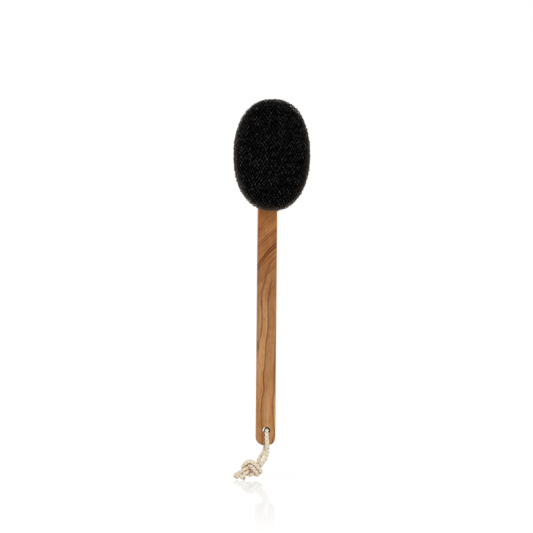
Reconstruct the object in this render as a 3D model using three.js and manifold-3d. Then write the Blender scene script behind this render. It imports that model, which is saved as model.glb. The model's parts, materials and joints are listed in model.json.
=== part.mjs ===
// A long-handled brush for dry-brushing the body: a flat wooden handle, an oval head board with a
// foam pad under a coarse knitted net, and a plaited hanging cord tied in a knot.
// Millimetres, +Z up along the handle, the brushing side towards -Y, the origin in the middle of
// the grip, on the handle's centre line.
import * as THREE from "three";
import { mergeVertices } from "three/addons/utils/BufferGeometryUtils.js";
import Module from "manifold-3d";

const wasm = await Module();
wasm.setup();

// Driving dimensions: the handle
const GRIP_ABOVE_END = 70; // from the handle's lower end up to the origin
const HANDLE_WIDTH_LOW = 21;
const HANDLE_WIDTH_TOP = 19.8;
const HANDLE_THICKNESS = 10;
const HANDLE_EDGE_RADIUS = 1.8;
const HANDLE_LAP = 86; // the stretch of handle that lies on the head board
const END_ROUND_HEIGHT = 9.5;
const END_ROUND_POWER = 2.3; // 2 is a half ellipse, more is squarer
const HOLE_RADIUS = 4;
const HOLE_ABOVE_END = 16.5;
const HOLE_CHAMFER = 0.6;

// Driving dimensions: the head
const PAD_CENTRE_ABOVE_END = 318;
const PAD_HALF_WIDTH = 42;
const PAD_HALF_HEIGHT = 61;
const PAD_OVAL_POWER = 2.2; // 2 is an ellipse, more is squarer
const PAD_TUCK = 5; // how far the pad stands out past its own foot at the board
const PAD_CROWN_POWER = 2.5; // 2 is a round dome, more is flatter with fuller shoulders
const BELLY_RISE = 8; // from the board's front up to the pad's widest line
const BOARD_THICKNESS = 8;
const BOARD_EDGE_RADIUS = 1.2;
const FOAM_THICKNESS = 22;
const NET_THICKNESS = 1.5;
const BAND_THICKNESS = 1.2;
const HEM_SETBACK = 0.5; // the net's hem and the band stop this far short of the board's back

// Driving dimensions: the two wood screws
const SCREW_FROM_LAP_END = 18; // from the board's lower edge, and from the handle's upper end
const SCREW_LENGTH = 16;
const SCREW_HEAD_RADIUS = 3.5;
const SCREW_HEAD_HEIGHT = 2.4;
const SCREW_HEAD_RIM = 0.4;
const SCREW_SHANK_RADIUS = 1.5;
const SCREW_THREAD_DEPTH = 0.45;
const SCREW_THREAD_PITCH = 1.5;
const SCREW_POINT_LENGTH = 2.5;
const SCREW_TIP_RADIUS = 0.45;
const SCREW_TIP_HEIGHT = 0.5;
const SCREW_SUNK = 0.2; // the head lies this far below the handle's back
const SCREW_SLOT = { length: 4, width: 0.8, depth: 1.3 };

// Driving dimensions: the hanging cord
const CORD_DIAMETER = 4.6;
const KNOT_HALF_SIZES = { along: 10.2, across: 8, deep: 7.2 };
const KNOT_SLOPE = 25; // degrees below level, going down to the left

const FIT = 0.3; // clearance between pieces that touch or go into each other
const CUT_PAST = 1; // how far a cutting shape runs past the face that it opens
const OVAL_SEGMENTS = 44;
const ROUND_SEGMENTS = 24;
const EDGE_SEGMENTS = 4; // facets round each softened edge
const CORD_SIDES = 10;
const CORD_STEPS_A_POINT = 1.7; // lengths of facet along the cord for each point of its route

// Places that follow from the dimensions above
const handleEndZ = -GRIP_ABOVE_END;
const holeZ = handleEndZ + HOLE_ABOVE_END;
const padCentreZ = handleEndZ + PAD_CENTRE_ABOVE_END;
const footShare = 1 - PAD_TUCK / PAD_HALF_WIDTH;
const board = {
  halfWidth: footShare * (PAD_HALF_WIDTH - NET_THICKNESS) - FIT,
  halfHeight: footShare * (PAD_HALF_HEIGHT - NET_THICKNESS) - FIT,
  back: HANDLE_THICKNESS / 2 + FIT,
};
board.front = board.back + BOARD_THICKNESS;
board.lowZ = padCentreZ - board.halfHeight;
const handleTopZ = board.lowZ + HANDLE_LAP;
const foamFoot = board.front + FIT;
const foamCrown = foamFoot + FOAM_THICKNESS;
const padCrown = foamCrown + FIT + NET_THICKNESS;
const bellyAt = board.front + BELLY_RISE;
const hemAt = board.back + HEM_SETBACK;
const netFlareAt = board.front - NET_THICKNESS;

const finishes = {
  handleWood: { color: 0xab7a4c, roughness: 0.5, metalness: 0 },
  boardWood: { color: 0xb98a5a, roughness: 0.6, metalness: 0 },
  screwBrass: { color: 0xb08d4f, roughness: 0.35, metalness: 1 },
  blackFoam: { color: 0x161616, roughness: 0.95, metalness: 0 },
  blackNet: { color: 0x1b1a19, roughness: 0.45, metalness: 0 },
  blackTape: { color: 0x121212, roughness: 0.85, metalness: 0 },
  cotton: { color: 0xdccfba, roughness: 0.9, metalness: 0 },
};

function meshOf(name, geometry, finish) {
  const mesh = new THREE.Mesh(geometry, new THREE.MeshStandardMaterial(finishes[finish]));
  mesh.name = name;
  return mesh;
}

// --- Solids that join and cut each other ---

function solidFrom(geometry) {
  const bare = geometry.clone();
  bare.deleteAttribute("normal");
  bare.deleteAttribute("uv");
  const merged = mergeVertices(bare);
  const corners = merged.index.array;
  const triangles = [];
  for (let i = 0; i < corners.length; i += 3) {
    const [a, b, c] = corners.slice(i, i + 3);
    if (a !== b && b !== c && c !== a) triangles.push(a, b, c);
  }
  return new wasm.Manifold(
    new wasm.Mesh({
      numProp: 3,
      vertProperties: new Float32Array(merged.attributes.position.array),
      triVerts: new Uint32Array(triangles),
    }),
  );
}

function geometryFrom(solid) {
  const { vertProperties, triVerts } = solid.getMesh();
  const geometry = new THREE.BufferGeometry();
  geometry.setAttribute("position", new THREE.BufferAttribute(vertProperties, 3));
  geometry.setIndex(new THREE.BufferAttribute(triVerts, 1));
  geometry.computeVertexNormals();
  return geometry;
}

function cut(body, ...cutters) {
  const start = solidFrom(body);
  return geometryFrom(cutters.reduce((left, cutter) => left.subtract(solidFrom(cutter)), start));
}

// --- Shapes that several pieces share ---

/** A turned solid on the Y axis; each point is [radius, place along Y], from low Y to high Y. */
function turned(points, segments = ROUND_SEGMENTS) {
  return new THREE.LatheGeometry(points.map(([r, y]) => new THREE.Vector2(r, y)), segments);
}

/** A flat shape drawn in X and Z, given its thickness from Y = -front to Y = -back. */
function slab(shape, back, front, edgeRadius = 0) {
  const geometry = new THREE.ExtrudeGeometry(shape, {
    depth: front - back - 2 * edgeRadius,
    bevelEnabled: edgeRadius > 0,
    bevelThickness: edgeRadius,
    bevelSize: edgeRadius,
    bevelOffset: -edgeRadius,
    bevelSegments: EDGE_SEGMENTS,
    curveSegments: OVAL_SEGMENTS / 2,
  });
  geometry.translate(0, 0, back + edgeRadius);
  geometry.rotateX(Math.PI / 2);
  return geometry;
}

/** Where the head's oval is, a turn of so many radians from +X. */
function ovalPlace(turn, halfWidth, halfHeight) {
  const squarer = (share) => Math.sign(share) * Math.abs(share) ** (2 / PAD_OVAL_POWER);
  return [squarer(Math.cos(turn)) * halfWidth, squarer(Math.sin(turn)) * halfHeight];
}

function ovalShape(halfWidth, halfHeight) {
  const outline = Array.from({ length: OVAL_SEGMENTS }, (_, i) => {
    const [x, z] = ovalPlace((i / OVAL_SEGMENTS) * 2 * Math.PI, halfWidth, halfHeight);
    return new THREE.Vector2(x, padCentreZ + z);
  });
  return new THREE.Shape(outline);
}

/** The pad's form: a straight foot, a belly that stands out past it, and a domed crown. */
function padForm(inset, foot) {
  const bellySteps = 4;
  const crownSteps = 9;
  const flareAt = netFlareAt + inset;
  const profile = [[0, foot], [footShare, foot]];
  for (let i = 0; i <= bellySteps; i++) {
    const turn = (i / bellySteps) * (Math.PI / 2);
    profile.push([
      footShare + (1 - footShare) * Math.sin(turn),
      flareAt + (bellyAt - flareAt) * (1 - Math.cos(turn)),
    ]);
  }
  for (let i = 1; i < crownSteps; i++) {
    const turn = (i / crownSteps) * (Math.PI / 2);
    profile.push([
      Math.cos(turn) ** (2 / PAD_CROWN_POWER),
      bellyAt + (padCrown - inset - bellyAt) * Math.sin(turn) ** (2 / PAD_CROWN_POWER),
    ]);
  }
  profile.push([0, padCrown - inset]);
  const geometry = turned(profile, OVAL_SEGMENTS);
  const places = geometry.attributes.position;
  for (let i = 0; i < places.count; i++) {
    const share = Math.hypot(places.getX(i), places.getZ(i));
    const turn = Math.atan2(places.getZ(i), places.getX(i));
    const [x, z] = ovalPlace(turn, PAD_HALF_WIDTH - inset, PAD_HALF_HEIGHT - inset);
    places.setX(i, share * x);
    places.setZ(i, share * z);
  }
  geometry.rotateZ(Math.PI);
  geometry.translate(0, 0, padCentreZ);
  return geometry;
}

// --- The screws and the holes that take them ---

const screwTop = HANDLE_THICKNESS / 2 - SCREW_SUNK;
const screwTip = screwTop - SCREW_LENGTH;
const threadRadius = SCREW_SHANK_RADIUS + SCREW_THREAD_DEPTH;
const coneFoot = screwTop - SCREW_HEAD_HEIGHT;

function screwGeometry() {
  const profile = [[0, screwTip], [SCREW_TIP_RADIUS, screwTip + SCREW_TIP_HEIGHT]];
  const threadEnd = coneFoot - SCREW_THREAD_PITCH;
  for (let y = screwTip + SCREW_POINT_LENGTH; y < threadEnd; y += SCREW_THREAD_PITCH) {
    profile.push([SCREW_SHANK_RADIUS, y], [threadRadius, y + SCREW_THREAD_PITCH / 2]);
  }
  profile.push(
    [SCREW_SHANK_RADIUS, coneFoot],
    [SCREW_HEAD_RADIUS, screwTop - SCREW_HEAD_RIM],
    [SCREW_HEAD_RADIUS, screwTop],
    [0, screwTop],
  );
  const { length, width, depth } = SCREW_SLOT;
  const slotAcross = new THREE.BoxGeometry(length, 2 * depth, width).translate(0, screwTop, 0);
  const slotAlong = new THREE.BoxGeometry(width, 2 * depth, length).translate(0, screwTop, 0);
  return cut(turned(profile), slotAcross, slotAlong);
}

function screwHole() {
  return turned([
    [0, screwTip - FIT],
    [threadRadius + FIT, screwTip - FIT],
    [threadRadius + FIT, coneFoot - FIT],
    [SCREW_HEAD_RADIUS + FIT, screwTop - SCREW_HEAD_RIM - FIT],
    [SCREW_HEAD_RADIUS + FIT, HANDLE_THICKNESS],
    [0, HANDLE_THICKNESS],
  ]);
}

const screwPlaces = [
  { name: "board_screw_lower", z: board.lowZ + SCREW_FROM_LAP_END },
  { name: "board_screw_upper", z: handleTopZ - SCREW_FROM_LAP_END },
];
const screwHoles = screwPlaces.map(({ z }) => screwHole().translate(0, 0, z));

// --- The pieces ---

function handle() {
  const ends = [
    { z: handleEndZ + END_ROUND_HEIGHT, halfWidth: HANDLE_WIDTH_LOW / 2, way: -1 },
    { z: handleTopZ - END_ROUND_HEIGHT, halfWidth: HANDLE_WIDTH_TOP / 2, way: 1 },
  ];
  const steps = 22;
  const outline = ends.flatMap(({ z, halfWidth, way }) =>
    Array.from({ length: steps + 1 }, (_, i) => {
      const turn = (i / steps) * Math.PI;
      const across = Math.sign(Math.cos(turn)) * Math.abs(Math.cos(turn)) ** (2 / END_ROUND_POWER);
      const out = Math.sin(turn) ** (2 / END_ROUND_POWER) || 0;
      return new THREE.Vector2(way * across * halfWidth, z + way * END_ROUND_HEIGHT * out);
    }),
  );
  const half = HANDLE_THICKNESS / 2;
  const stick = slab(new THREE.Shape(outline), -half, half, HANDLE_EDGE_RADIUS);
  const reach = half + CUT_PAST;
  const mouth = HOLE_RADIUS + HOLE_CHAMFER + CUT_PAST;
  const hangingHole = turned([
    [0, -reach],
    [mouth, -reach],
    [HOLE_RADIUS, HOLE_CHAMFER - half],
    [HOLE_RADIUS, half - HOLE_CHAMFER],
    [mouth, reach],
    [0, reach],
  ]).translate(0, 0, holeZ);
  return meshOf("handle", cut(stick, hangingHole, ...screwHoles), "handleWood");
}

function headBoard() {
  const oval = ovalShape(board.halfWidth, board.halfHeight);
  const blank = slab(oval, board.back, board.front, BOARD_EDGE_RADIUS);
  return meshOf("head_board", cut(blank, ...screwHoles), "boardWood");
}

function foamCore() {
  return meshOf("foam_core", padForm(NET_THICKNESS + FIT, foamFoot), "blackFoam");
}

function knitCover() {
  const shell = cut(padForm(0, hemAt), padForm(NET_THICKNESS, hemAt - CUT_PAST));
  return meshOf("knit_cover", shell, "blackNet");
}

function edgeBand() {
  const innerWidth = footShare * PAD_HALF_WIDTH + FIT;
  const innerHeight = footShare * PAD_HALF_HEIGHT + FIT;
  const ring = ovalShape(innerWidth + BAND_THICKNESS, innerHeight + BAND_THICKNESS);
  ring.holes.push(ovalShape(innerWidth, innerHeight));
  return meshOf("edge_band", slab(ring, hemAt, netFlareAt - FIT), "blackTape");
}

// --- The hanging cord, in its own frame with the hole's centre as its origin ---

const halfJoint = FIT / 2; // the two strands meet in the middle of the hole

// Each route runs from the middle of the hole to the knot.
const frontRoute = [
  [-0.6, -halfJoint, -0.9], [-0.6, -2.6, -1], [-0.6, -4.5, -1.3], [-0.55, -6.7, -2.4],
  [-0.45, -7.65, -4.7], [0, -7.85, -9], [0.4, -7.8, -13], [0.8, -7.5, -17],
  [1, -6.7, -21], [0.8, -5.9, -25], [0.1, -5, -29.5], [-1.9, -4.2, -33.2], [-4.7, -3.4, -36.6],
];
const backRoute = [
  [-0.6, halfJoint, -0.9], [-0.6, 2.6, -1], [-0.6, 4.5, -1.3], [-0.5, 6.7, -2.4],
  [-0.4, 7.65, -4.7], [-0.1, 7.85, -9], [0.1, 7.7, -13], [0.3, 7.2, -17],
  [-0.1, 6.3, -21], [-1.7, 5, -25], [-4.2, 3.8, -28.6], [-7.3, 2.5, -34.1],
];
const knotCentre = [-14, 0, -41.4];
const leftEndRoute = [[-25.2, -1, -44.2], [-28.5, 0.2, -46.8], [-31.9, 1.6, -50.6]];
const rightEndRoute = [[-22.6, -2.4, -48.6], [-23.9, -1.9, -50], [-25.4, -1.2, -51.6]];

function cordStretch(name, route) {
  const path = new THREE.CatmullRomCurve3(route.map((point) => new THREE.Vector3(...point)));
  const steps = Math.round(route.length * CORD_STEPS_A_POINT);
  const section = new THREE.Shape(
    Array.from({ length: CORD_SIDES }, (_, i) => {
      const turn = (i / CORD_SIDES) * 2 * Math.PI;
      const radius = CORD_DIAMETER / 2;
      return new THREE.Vector2(radius * Math.cos(turn), radius * Math.sin(turn));
    }),
  );
  const geometry = new THREE.ExtrudeGeometry(section, { steps, extrudePath: path });
  return meshOf(name, geometry, "cotton");
}

function cordKnot() {
  const { along, across, deep } = KNOT_HALF_SIZES;
  const mesh = meshOf("cord_knot", new THREE.SphereGeometry(1, 20, 12), "cotton");
  mesh.geometry.scale(along, deep, across);
  mesh.position.set(...knotCentre);
  mesh.rotation.y = THREE.MathUtils.degToRad(-KNOT_SLOPE);
  return mesh;
}

function hangingCord() {
  const cord = new THREE.Group();
  cord.position.z = holeZ;
  cord.add(
    cordStretch("cord_front_strand", frontRoute),
    cordStretch("cord_back_strand", backRoute),
    cordKnot(),
    cordStretch("cord_end_left", leftEndRoute),
    cordStretch("cord_end_right", rightEndRoute),
  );
  return cord;
}

const brush = new THREE.Group();
brush.add(handle(), headBoard(), foamCore(), knitCover(), edgeBand());
for (const { name, z } of screwPlaces) {
  const screw = meshOf(name, screwGeometry(), "screwBrass");
  screw.position.z = z;
  brush.add(screw);
}
brush.add(hangingCord());

export default brush;
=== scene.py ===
"""The looks of a long-handled body brush: oiled wood, a foam pad under black knitted net, and a
plaited cotton hanging cord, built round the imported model. Metres, +Z up along the handle, the
brushing side towards -Y."""
import json
import math

import bpy
import numpy as np
from mathutils import Matrix, Vector


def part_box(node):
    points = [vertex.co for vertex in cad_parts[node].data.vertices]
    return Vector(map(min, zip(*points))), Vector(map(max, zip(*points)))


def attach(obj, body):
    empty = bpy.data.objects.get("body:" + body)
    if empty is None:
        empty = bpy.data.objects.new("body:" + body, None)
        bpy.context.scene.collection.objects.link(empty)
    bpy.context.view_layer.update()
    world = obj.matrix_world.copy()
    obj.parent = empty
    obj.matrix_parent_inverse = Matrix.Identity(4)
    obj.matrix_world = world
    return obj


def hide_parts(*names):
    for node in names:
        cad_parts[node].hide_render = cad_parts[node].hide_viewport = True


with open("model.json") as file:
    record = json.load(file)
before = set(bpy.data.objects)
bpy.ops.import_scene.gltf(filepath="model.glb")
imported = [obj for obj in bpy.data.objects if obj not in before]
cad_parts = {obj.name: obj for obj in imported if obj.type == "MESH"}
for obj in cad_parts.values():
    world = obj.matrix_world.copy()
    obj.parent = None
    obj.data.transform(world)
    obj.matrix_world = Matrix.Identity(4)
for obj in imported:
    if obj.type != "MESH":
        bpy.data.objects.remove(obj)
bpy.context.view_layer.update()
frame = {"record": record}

MM = 0.001
TURN = 2 * math.pi
HOLE = np.array(frame["record"]["behaviour"]["joints"][0]["pos_m"])  # the hanging hole's centre
HOLE_RADIUS = 4 * MM

# --- Shared steps ---


def corners(node):
    """The low and the high corner of a CAD node's box."""
    return [np.array(corner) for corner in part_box(node)]


def unit(rows):
    return rows / np.linalg.norm(rows, axis=-1, keepdims=True)


def lengths(line):
    """How far along a line of points each of them lies."""
    return np.concatenate([[0], np.cumsum(np.linalg.norm(np.diff(line, axis=0), axis=1))])


def square_to(rows, tangents):
    """Directions turned square to the tangents, and the ones square to both."""
    outwards = unit(rows - tangents * (rows * tangents).sum(axis=1)[:, None])
    return outwards, np.cross(tangents, outwards)


def ring_faces(rings, sides, start=0):
    """Quads between neighbouring rings of points, and one face that closes each end."""
    faces = []
    for ring in range(rings - 1):
        low = start + ring * sides
        for side in range(sides):
            following = (side + 1) % sides
            faces.append((low + side, low + following, low + sides + following, low + sides + side))
    faces.append(tuple(start + side for side in reversed(range(sides))))
    faces.append(tuple(start + (rings - 1) * sides + side for side in range(sides)))
    return faces


def dress(piece, name, material, body):
    """Gives a piece its name, material, slot and the body that it rides on."""
    piece.name = piece.data.name = name
    piece.data.materials.clear()
    piece.data.materials.append(material)
    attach(piece, body)


def mesh_piece(name, points, faces, material, body):
    """A new smooth piece from points and faces, in place, riding on its body."""
    mesh = bpy.data.meshes.new(name)
    mesh.from_pydata([tuple(p) for p in points], [], faces)
    mesh.update()
    for face in mesh.polygons:
        face.use_smooth = True
    piece = bpy.data.objects.new(name, mesh)
    bpy.context.scene.collection.objects.link(piece)
    dress(piece, name, material, body)
    return piece


def point_values(piece, name, values):
    """Stores a value, or a vector where values has rows, with each of the piece's points."""
    values = np.asarray(values, float)
    kind, field = ("FLOAT_VECTOR", "vector") if values.ndim == 2 else ("FLOAT", "value")
    piece.data.attributes.new(name, kind, "POINT").data.foreach_set(field, values.ravel())


class Finish:
    """One material, with short ways to wire its nodes."""

    def __init__(self, name, roughness, specular=0.5):
        self.material = bpy.data.materials.new(name)
        self.material.use_nodes = True
        self.nodes = self.material.node_tree.nodes
        self.shader = self.nodes["Principled BSDF"]
        self.shader.inputs["Roughness"].default_value = roughness
        self.shader.inputs["Specular IOR Level"].default_value = specular

    def new(self, kind):
        return self.nodes.new("ShaderNode" + kind)

    def set(self, socket, value):
        """Gives a socket a value, a colour without its alpha, or another node's answer."""
        if isinstance(value, bpy.types.NodeSocket):
            self.material.node_tree.links.new(value, socket)
        elif socket.type == "RGBA":
            socket.default_value = (*value, 1)
        else:
            socket.default_value = value

    def fill(self, node, *values):
        for socket, value in zip(node.inputs, values):
            self.set(socket, value)

    def look(self, **values):
        """Sets the shader's own sockets, with _ for the spaces in their names."""
        for name, value in values.items():
            self.set(self.shader.inputs[name.replace("_", " ")], value)

    def math(self, operation, *values, clamp=False):
        node = self.new("Math")
        node.operation = operation
        node.use_clamp = clamp
        self.fill(node, *values)
        return node.outputs[0]

    def times(self, value, other, plus=0.0):
        return self.math("MULTIPLY_ADD", value, other, plus)

    def minus(self, value, other):
        return self.math("SUBTRACT", value, other)

    def waves(self, value, length):
        """From -1 to 1 and back, once in each length of the value."""
        return self.math("SINE", self.times(value, TURN / length))

    def vector(self, operation, *values, scale=None):
        node = self.new("VectorMath")
        node.operation = operation
        self.fill(node, *values)
        if scale is not None:
            node.inputs["Scale"].default_value = scale
        return node.outputs["Value" if operation == "LENGTH" else "Vector"]

    def between(self, value, low, high, smooth=True):
        """0 where value is low, 1 where it is high, and evenly between."""
        node = self.new("MapRange")
        node.interpolation_type = "SMOOTHSTEP" if smooth else "LINEAR"
        self.fill(node, value, low, high)
        return node.outputs["Result"]

    def place(self):
        return self.parted(self.new("TexCoord").outputs["Object"])

    def read(self, name, output="Fac"):
        """A value or vector stored with the piece's points."""
        node = self.new("Attribute")
        node.attribute_name = name
        return node.outputs[output]

    def parted(self, vector):
        node = self.new("SeparateXYZ")
        self.fill(node, vector)
        return node.outputs[0], node.outputs[1], node.outputs[2]

    def pattern(self, kind, place, stretch, scale):
        """A texture node whose pattern is drawn out along Z, the more the smaller the stretch."""
        point = self.new("CombineXYZ")
        self.fill(point, place[0], place[1], self.times(place[2], stretch))
        node = self.new(kind)
        self.set(node.inputs["Vector"], point.outputs[0])
        node.inputs["Scale"].default_value = scale
        return node

    def noise(self, place, stretch, scale, detail=2.0, roughness=0.5):
        node = self.pattern("TexNoise", place, stretch, scale)
        node.inputs["Detail"].default_value = detail
        node.inputs["Roughness"].default_value = roughness
        return node.outputs["Fac"]

    def pores(self, place, stretch, scale):
        return self.pattern("TexVoronoi", place, stretch, scale).outputs["Distance"]

    def curve(self, value, places):
        """A drawn curve from 0..1 to 0..1 through the given places."""
        node = self.new("FloatCurve")
        line = node.mapping.curves[0]
        line.points[0].location = places[0]
        line.points[1].location = places[-1]
        for spot in places[1:-1]:
            line.points.new(*spot)
        node.mapping.update()
        self.set(node.inputs["Value"], value)
        return node.outputs[0]

    def ramp(self, value, *stops):
        node = self.new("ValToRGB")
        elements = node.color_ramp.elements
        while len(elements) < len(stops):
            elements.new(0.5)
        for element, (place, colour) in zip(elements, stops):
            element.position = place
            element.color = (*colour, 1)
        self.fill(node, value)
        return node.outputs[0]

    def mix(self, share, below, above, way="MIX"):
        node = self.new("Mix")
        node.data_type = "RGBA"
        node.blend_type = way
        for name, value in (("Factor", share), ("A", below), ("B", above)):
            self.set(node.inputs[name], value)
        return node.outputs["Result"]

    def blend(self, share, below, above):
        """A shader between two others."""
        node = self.new("MixShader")
        self.fill(node, share, below, above)
        return node.outputs[0]

    def bump(self, height, depth, strength=1.0):
        node = self.new("Bump")
        self.set(node.inputs["Height"], height)
        node.inputs["Distance"].default_value = depth
        node.inputs["Strength"].default_value = strength
        self.look(Normal=node.outputs[0])


# --- Camera: level with the middle of the photograph, a little to the brush's left ---

CAMERA_DISTANCE = 1.6
CAMERA_AZIMUTH = math.radians(-11)
CAMERA_ROLL = math.radians(0.5)
AIM_HEIGHT = 126.6 * MM  # the height of the photograph's middle, from the grip
AIM_ACROSS = -0.5 * MM
PHOTO_WIDTH = 587 * MM  # what the photograph's width spans at the handle


def make_camera():
    camera_data = bpy.data.cameras.new("camera")
    camera_data.sensor_width = 36
    camera_data.lens = camera_data.sensor_width * CAMERA_DISTANCE / PHOTO_WIDTH
    camera = bpy.data.objects.new("camera", camera_data)
    bpy.context.scene.collection.objects.link(camera)
    level = Matrix.Rotation(math.pi / 2, 4, "X")
    turn = Matrix.Rotation(CAMERA_AZIMUTH, 4, "Z")
    roll = Matrix.Rotation(CAMERA_ROLL, 4, "Z")
    place = turn @ Vector((AIM_ACROSS, -CAMERA_DISTANCE, 0)) + Vector((0, 0, AIM_HEIGHT))
    camera.matrix_world = Matrix.Translation(place) @ turn @ level @ roll
    bpy.context.scene.camera = camera


def as_seen(across, up, towards):
    """A place given in the camera's directions, from the hanging hole's centre, in millimetres."""
    cos, sin = math.cos(CAMERA_AZIMUTH), math.sin(CAMERA_AZIMUTH)
    return HOLE + MM * np.array((across * cos + towards * sin, across * sin - towards * cos, up))


# --- Studio: white floor and surroundings, soft light ---

FLOOR_HEIGHT = -107.8 * MM
FLOOR_GLOW = 1.02
MIRROR_SHARE = 0.32
SHADOW_SHARE = 0.08
REFLECTION_REACH = 390 * MM  # how far from the brush the floor still shows its mirror image
REFLECTION_FADE = 1.5
MIRROR_SLOPE = 0.036  # how much the floor's shine falls away all round, which shortens the mirror image
ROOM_LIGHT = 0.55


def make_floor():
    """A white floor. The camera sees it plain white, with a faint mirror image and shadow near the brush."""
    bpy.ops.mesh.primitive_plane_add(size=8, location=(0, 0, FLOOR_HEIGHT))
    floor = bpy.context.object
    floor.name = "floor"
    finish = Finish("white_floor", 0.6)
    finish.look(Base_Color=(0.9, 0.9, 0.9))
    plain = finish.shader.outputs[0]
    place = finish.new("TexCoord").outputs["Object"]
    outwards = finish.vector("SCALE", finish.vector("NORMALIZE", place), scale=MIRROR_SLOPE)
    mirror = finish.new("BsdfGlossy")
    mirror.inputs["Color"].default_value = (1, 1, 1, 1)
    mirror.inputs["Roughness"].default_value = 0.05
    finish.set(mirror.inputs["Normal"], finish.vector("NORMALIZE", finish.vector("ADD", outwards, (0, 0, 1))))
    near = finish.between(finish.vector("LENGTH", place), REFLECTION_REACH, 0, smooth=False)
    near = finish.math("POWER", near, REFLECTION_FADE)
    glow = finish.new("Emission")
    glow.inputs["Strength"].default_value = FLOOR_GLOW
    seen = finish.blend(finish.times(near, MIRROR_SHARE), glow.outputs[0], mirror.outputs[0])
    seen = finish.blend(finish.times(near, SHADOW_SHARE), seen, plain)
    by_camera = finish.new("LightPath").outputs["Is Camera Ray"]
    finish.set(finish.nodes["Material Output"].inputs["Surface"], finish.blend(by_camera, plain, seen))
    floor.data.materials.append(finish.material)


def make_world():
    """Soft light from all round, and plain white for the camera and in mirror images."""
    world = bpy.data.worlds.new("studio")
    bpy.context.scene.world = world
    world.use_nodes = True
    nodes, links = world.node_tree.nodes, world.node_tree.links
    room, white = nodes["Background"], nodes.new("ShaderNodeBackground")
    for background, strength in ((room, ROOM_LIGHT), (white, 1)):
        background.inputs["Color"].default_value = (1, 1, 1, 1)
        background.inputs["Strength"].default_value = strength
    rays = nodes.new("ShaderNodeLightPath")
    sees_white = rays.outputs["Is Camera Ray"]
    for kind in ("Is Glossy Ray", "Is Transmission Ray"):
        either = nodes.new("ShaderNodeMath")
        either.operation = "MAXIMUM"
        links.new(sees_white, either.inputs[0])
        links.new(rays.outputs[kind], either.inputs[1])
        sees_white = either.outputs[0]
    mix = nodes.new("ShaderNodeMixShader")
    for socket, source in zip(mix.inputs, (sees_white, room.outputs[0], white.outputs[0])):
        links.new(source, socket)
    links.new(mix.outputs[0], nodes["World Output"].inputs["Surface"])


def make_lamp(name, place, power, size):
    lamp_data = bpy.data.lights.new(name, "AREA")
    lamp_data.energy = power
    lamp_data.size = size
    lamp = bpy.data.objects.new(name, lamp_data)
    bpy.context.scene.collection.objects.link(lamp)
    aim = Vector((0, 0, AIM_HEIGHT)) - Vector(place)
    lamp.matrix_world = Matrix.Translation(place) @ aim.to_track_quat("-Z", "Y").to_matrix().to_4x4()


make_camera()
make_floor()
make_world()
make_lamp("key_softbox", (-0.9, -1.3, 1.2), 14, 0.8)
make_lamp("fill_softbox", (1.2, -1.0, 0.5), 5, 0.9)
bpy.context.scene.view_settings.view_transform = "Standard"

# --- The hanging cord: one cotton plait through the hole, both halves tied together ---

CORD_DIAMETER = 4.6 * MM
CORD_STEP = 0.4 * MM
PLAIT_PITCH = 8.4 * MM  # one strand's way once round the cord
PLAIT_RADIUS = 1.2 * MM  # from the cord's middle to a strand's middle, on average
PLAIT_WAVE = 0.36 * MM  # how far a strand rises to pass over its neighbours, and sinks to pass under
STRANDS = 4
STRAND_HALF_WIDTH = 1.3 * MM
STRAND_HALF_DEPTH = 0.8 * MM
STRAND_SIDES = 14
CORE_RADIUS = 1.55 * MM
YARNS = 3  # in each strand
YARN_PITCH = 3.4 * MM
YARN_DEPTH = 0.08  # how far the grooves between yarns go in, as a share of the strand
FIBRE_LENGTH = 4 * MM  # of the marks that the fibres' colour and bump follow
END_ROUNDING = 0.9 * MM
SQUEEZED_LENGTH = 8 * MM  # from the hole's middle, where the hole presses the cord together
SWELLING_LENGTH = 4 * MM  # over which it then swells
FREE_SWELLING = 0.06  # how much thicker the cord is where the hole doesn't squeeze it
SETTLED_GAP = 0.88 * CORD_DIAMETER  # between the middles of two parts that lie pressed together
HELD_LENGTH = 24 * MM  # below the hole, where the cord keeps its drawn place as the knot settles
NEAR_CROWD = 0.52 * CORD_DIAMETER  # the distance of another part that shades the cord fully
FAR_CROWD = 0.78 * CORD_DIAMETER  # and the one that no longer does
OWN_STRETCH = 2.4 * CORD_DIAMETER  # what lies nearer along the cord counts as the same part
FUZZ_HAIRS = 480
FUZZ_LENGTH = 1.1 * MM
FUZZ_RADIUS = 0.025 * MM
FRAYED_YARNS = 150
FRAY_LENGTH = 2.1 * MM
FRAYED_RADIUS = 0.13 * MM
HAIR_MARKS = (0, 0.35, 0.7, 1)  # where along a hair its rings lie
HAIR_CORNERS = (0, 2.09, 4.19)  # the directions of a hair's three edges round it
HAIR_BEND = 0.45

# From the middle of the hole to the knot, in millimetres from the hole's centre.
FRONT_ROUTE = [
    (1.1, -0.15, 1), (0.9, -2.6, 0.8), (0.5, -4.6, -0.1), (0.1, -6.2, -1.5), (-0.1, -7.3, -3.3),
    (0, -7.8, -5.5), (0, -7.85, -8.8), (0.4, -7.8, -13), (0.8, -7.5, -17), (1, -6.7, -21),
    (0.8, -5.9, -25), (0.1, -5, -29.5), (-2, -4.2, -33.6), (-5.4, -3.4, -37.4),
]
BACK_ROUTE = [
    (1.1, 0.15, 1), (1.3, 2.6, 0.8), (1.4, 4.6, -0.2), (1.1, 6.2, -1.6), (0.8, 7.3, -3.3),
    (0.5, 7.9, -5.5), (0.5, 8.1, -8.8), (0.9, 8, -13), (1.3, 7.5, -17), (0.9, 6.5, -21),
    (-1, 4.8, -25), (-3.9, 3.7, -28.6), (-7.2, 2.6, -33.8),
]
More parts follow.
